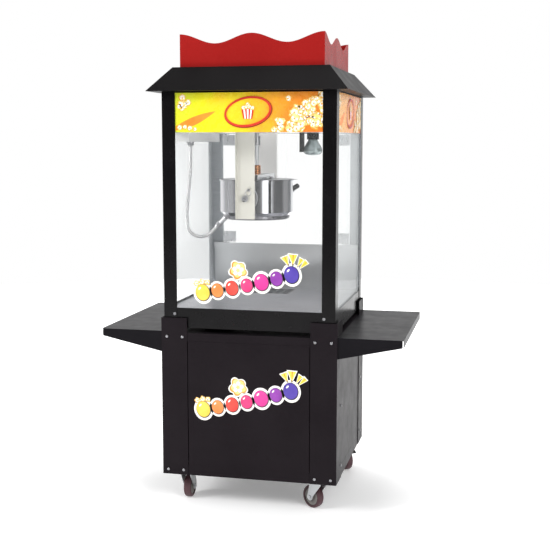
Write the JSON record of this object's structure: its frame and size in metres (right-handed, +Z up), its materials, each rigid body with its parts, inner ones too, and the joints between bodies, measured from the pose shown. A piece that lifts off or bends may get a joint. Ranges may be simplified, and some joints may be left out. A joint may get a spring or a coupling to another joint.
{
  "type": "popcorn cart",
  "caption": "Glass-sided popcorn machine with a tilting kettle and a waved crown, standing on a square base cart with side shelves and swivel casters.",
  "frame": {"origin": "on the floor under the middle of the cart", "axes": "+Z up, +X to the customer's right, -Y towards the customer"},
  "size_m": [0.989, 0.6404, 1.521],
  "materials": {
    "cart_corner_posts": "semi-gloss black powder coat",
    "cart_rails": "semi-gloss black powder coat",
    "cart_side_panels": "semi-gloss black powder coat",
    "cart_front_panel": "semi-gloss black powder coat",
    "cart_deck_and_floor": "semi-gloss black powder coat",
    "side_shelves": "semi-gloss black powder coat",
    "cabinet_door": "semi-gloss black powder coat",
    "frame_screws": "bright plated",
    "caster_top_plates": "zinc plated",
    "caster_fork_fl": "zinc plated",
    "caster_wheel_fl": "dark maroon tread",
    "caster_fork_fr": "zinc plated",
    "caster_wheel_fr": "dark maroon tread",
    "caster_fork_rl": "zinc plated",
    "caster_wheel_rl": "dark maroon tread",
    "caster_fork_rr": "zinc plated",
    "caster_wheel_rr": "dark maroon tread",
    "brake_pedal_rl": "black",
    "brake_pedal_rr": "black",
    "machine_base": "gloss black enamel",
    "machine_corner_posts": "gloss black enamel",
    "roof_shell": "gloss black enamel",
    "machine_feet": "matte",
    "popcorn_deck": "stainless",
    "rear_sill_panel": "stainless",
    "kernel_drawer": "stainless",
    "kettle_pot": "stainless",
    "kettle_lid_left": "stainless",
    "kettle_lid_right": "stainless",
    "stirrer": "stainless",
    "kettle_bridge": "satin",
    "kettle_heater": "satin",
    "kettle_trunnions": "satin",
    "rear_door_left_fittings": "satin",
    "rear_door_right_fittings": "satin",
    "door_pivot_brackets": "satin",
    "kettle_gland": "satin",
    "conduit_socket": "satin",
    "drive_shaft": "satin",
    "lock_pin": "satin",
    "hanger_rear": "satin",
    "hanger_front": "cream enamel",
    "case_glass": "clear tempered",
    "rear_door_left": "clear tempered",
    "rear_door_right": "clear tempered",
    "control_panel": "black enamel",
    "rocker_heat": "black",
    "rocker_stir": "black",
    "rocker_light": "black",
    "ceiling_pan": "satin",
    "crown_panels": "red enamel",
    "gear_motor": "grey",
    "wiring_duct": "grey",
    "lamp_shield": "black",
    "lamp_holder": "black",
    "heat_lamp": "frosted reflector",
    "mains_gland": "black",
    "conduit": "flexible interlocked",
    "shaft_bearing": "satin",
    "kettle_handle": "black"
  },
  "bodies": {
    "case": {"cart_corner_posts": "cart_corner_posts", "cart_rails": "cart_rails", "cart_side_panels": "cart_side_panels", "cart_front_panel": "cart_front_panel", "cart_deck_and_floor": "cart_deck_and_floor", "side_shelves": "side_shelves", "frame_screws": "frame_screws", "caster_top_plates": "caster_top_plates", "machine_base": "machine_base", "machine_corner_posts": "machine_corner_posts", "roof_shell": "roof_shell", "machine_feet": "machine_feet", "popcorn_deck": "popcorn_deck", "rear_sill_panel": "rear_sill_panel", "door_pivot_brackets": "door_pivot_brackets", "conduit_socket": "conduit_socket", "hanger_rear": "hanger_rear", "hanger_front": "hanger_front", "case_glass": "case_glass", "control_panel": "control_panel", "ceiling_pan": "ceiling_pan", "crown_panels": "crown_panels", "gear_motor": "gear_motor", "wiring_duct": "wiring_duct", "lamp_shield": "lamp_shield", "lamp_holder": "lamp_holder", "heat_lamp": "heat_lamp", "mains_gland": "mains_gland", "conduit": "conduit"},
    "rocker_heat": {"rocker_heat": "rocker_heat"},
    "rocker_stir": {"rocker_stir": "rocker_stir"},
    "rocker_light": {"rocker_light": "rocker_light"},
    "door_left": {"rear_door_left": "rear_door_left", "rear_door_left_fittings": "rear_door_left_fittings"},
    "door_right": {"rear_door_right": "rear_door_right", "rear_door_right_fittings": "rear_door_right_fittings"},
    "drawer": {"kernel_drawer": "kernel_drawer"},
    "cabinet_door": {"cabinet_door": "cabinet_door"},
    "kettle": {"kettle_pot": "kettle_pot", "kettle_heater": "kettle_heater", "kettle_bridge": "kettle_bridge", "shaft_bearing": "shaft_bearing", "kettle_trunnions": "kettle_trunnions", "kettle_handle": "kettle_handle", "kettle_gland": "kettle_gland"},
    "lid_left": {"kettle_lid_left": "kettle_lid_left"},
    "lid_right": {"kettle_lid_right": "kettle_lid_right"},
    "stirrer": {"stirrer": "stirrer"},
    "drive": {"drive_shaft": "drive_shaft"},
    "lock_pin": {"lock_pin": "lock_pin"},
    "fork_fr": {"caster_fork_fr": "caster_fork_fr"},
    "wheel_fr": {"caster_wheel_fr": "caster_wheel_fr"},
    "fork_fl": {"caster_fork_fl": "caster_fork_fl"},
    "wheel_fl": {"caster_wheel_fl": "caster_wheel_fl"},
    "fork_rr": {"caster_fork_rr": "caster_fork_rr"},
    "wheel_rr": {"caster_wheel_rr": "caster_wheel_rr"},
    "brake_rr": {"brake_pedal_rr": "brake_pedal_rr"},
    "fork_rl": {"caster_fork_rl": "caster_fork_rl"},
    "wheel_rl": {"caster_wheel_rl": "caster_wheel_rl"},
    "brake_rl": {"brake_pedal_rl": "brake_pedal_rl"}
  },
  "joints": [
    {"name": "kettle_tilt", "type": "hinge", "parent": "case", "child": "kettle", "pos_m": [-0.041, 0, 1], "axis": [0, 1, 0], "range_deg": [0, 110]},
    {"name": "lid_left_flap", "type": "hinge", "parent": "kettle", "child": "lid_left", "pos_m": [-0.08, 0, 1.063], "axis": [0, 1, 0], "range_deg": [0, 90]},
    {"name": "lid_right_flap", "type": "hinge", "parent": "kettle", "child": "lid_right", "pos_m": [-0.002, 0, 1.063], "axis": [0, -1, 0], "range_deg": [0, 90]},
    {"name": "drive_spin", "type": "hinge", "parent": "case", "child": "drive", "pos_m": [-0.041, 0, 1.19], "axis": [0, 0, 1], "continuous": true},
    {"name": "stirrer_spin", "type": "hinge", "parent": "kettle", "child": "stirrer", "pos_m": [-0.041, 0, 1], "axis": [0, 0, 1], "continuous": true},
    {"name": "lock_pin_pull", "type": "slide", "parent": "case", "child": "lock_pin", "axis": [0, -1, 0], "range_m": [0, 0.008], "stiffness_N_per_m": 200, "springref_m": -0.004},
    {"name": "door_left_swing", "type": "hinge", "parent": "case", "child": "door_left", "pos_m": [-0.225, 0.274, 1.01], "axis": [0, 0, 1], "range_deg": [0, 100]},
    {"name": "door_right_swing", "type": "hinge", "parent": "case", "child": "door_right", "pos_m": [0.225, 0.274, 1.01], "axis": [0, 0, -1], "range_deg": [0, 100]},
    {"name": "drawer_slide", "type": "slide", "parent": "case", "child": "drawer", "axis": [0, 1, 0], "range_m": [0, 0.15]},
    {"name": "cabinet_door_swing", "type": "hinge", "parent": "case", "child": "cabinet_door", "pos_m": [-0.19, 0.279, 0.34], "axis": [0, 0, 1], "range_deg": [0, 90]},
    {"name": "rocker_heat_tip", "type": "hinge", "parent": "case", "child": "rocker_heat", "pos_m": [0.06, 0.272, 1.277], "axis": [1, 0, 0], "range_deg": [0, 20]},
    {"name": "rocker_stir_tip", "type": "hinge", "parent": "case", "child": "rocker_stir", "pos_m": [0.11, 0.272, 1.277], "axis": [1, 0, 0], "range_deg": [0, 20]},
    {"name": "rocker_light_tip", "type": "hinge", "parent": "case", "child": "rocker_light", "pos_m": [0.16, 0.272, 1.277], "axis": [1, 0, 0], "range_deg": [0, 20]},
    {"name": "swivel_fr", "type": "hinge", "parent": "case", "child": "fork_fr", "pos_m": [0.224, -0.228, 0.09], "axis": [0, 0, 1], "continuous": true},
    {"name": "wheel_spin_fr", "type": "hinge", "parent": "fork_fr", "child": "wheel_fr", "pos_m": [0.20048, -0.21281, 0.0375], "axis": [0.5426, 0.84, 0], "continuous": true},
    {"name": "swivel_fl", "type": "hinge", "parent": "case", "child": "fork_fl", "pos_m": [-0.224, -0.228, 0.09], "axis": [0, 0, 1], "continuous": true},
    {"name": "wheel_spin_fl", "type": "hinge", "parent": "fork_fl", "child": "wheel_fl", "pos_m": [-0.224, -0.2, 0.0375], "axis": [1, 0, 0], "continuous": true},
    {"name": "swivel_rr", "type": "hinge", "parent": "case", "child": "fork_rr", "pos_m": [0.224, 0.228, 0.09], "axis": [0, 0, 1], "continuous": true},
    {"name": "wheel_spin_rr", "type": "hinge", "parent": "fork_rr", "child": "wheel_rr", "pos_m": [0.2408, 0.2056, 0.0375], "axis": [-0.8, -0.6, 0], "continuous": true},
    {"name": "brake_press_rr", "type": "hinge", "parent": "fork_rr", "child": "brake_rr", "pos_m": [0.2456, 0.1992, 0.081], "axis": [0.8, 0.6, 0], "range_deg": [0, 15]},
    {"name": "swivel_rl", "type": "hinge", "parent": "case", "child": "fork_rl", "pos_m": [-0.224, 0.228, 0.09], "axis": [0, 0, 1], "continuous": true},
    {"name": "wheel_spin_rl", "type": "hinge", "parent": "fork_rl", "child": "wheel_rl", "pos_m": [-0.23184, 0.25488, 0.0375], "axis": [0.96, 0.28, 0], "continuous": true},
    {"name": "brake_press_rl", "type": "hinge", "parent": "fork_rl", "child": "brake_rl", "pos_m": [-0.23408, 0.26256, 0.081], "axis": [-0.96, -0.28, 0], "range_deg": [0, 15]}
  ],
  "couplings": [
    {"joint": "stirrer_spin", "follows": "drive_spin", "ratio": 1}
  ]
}
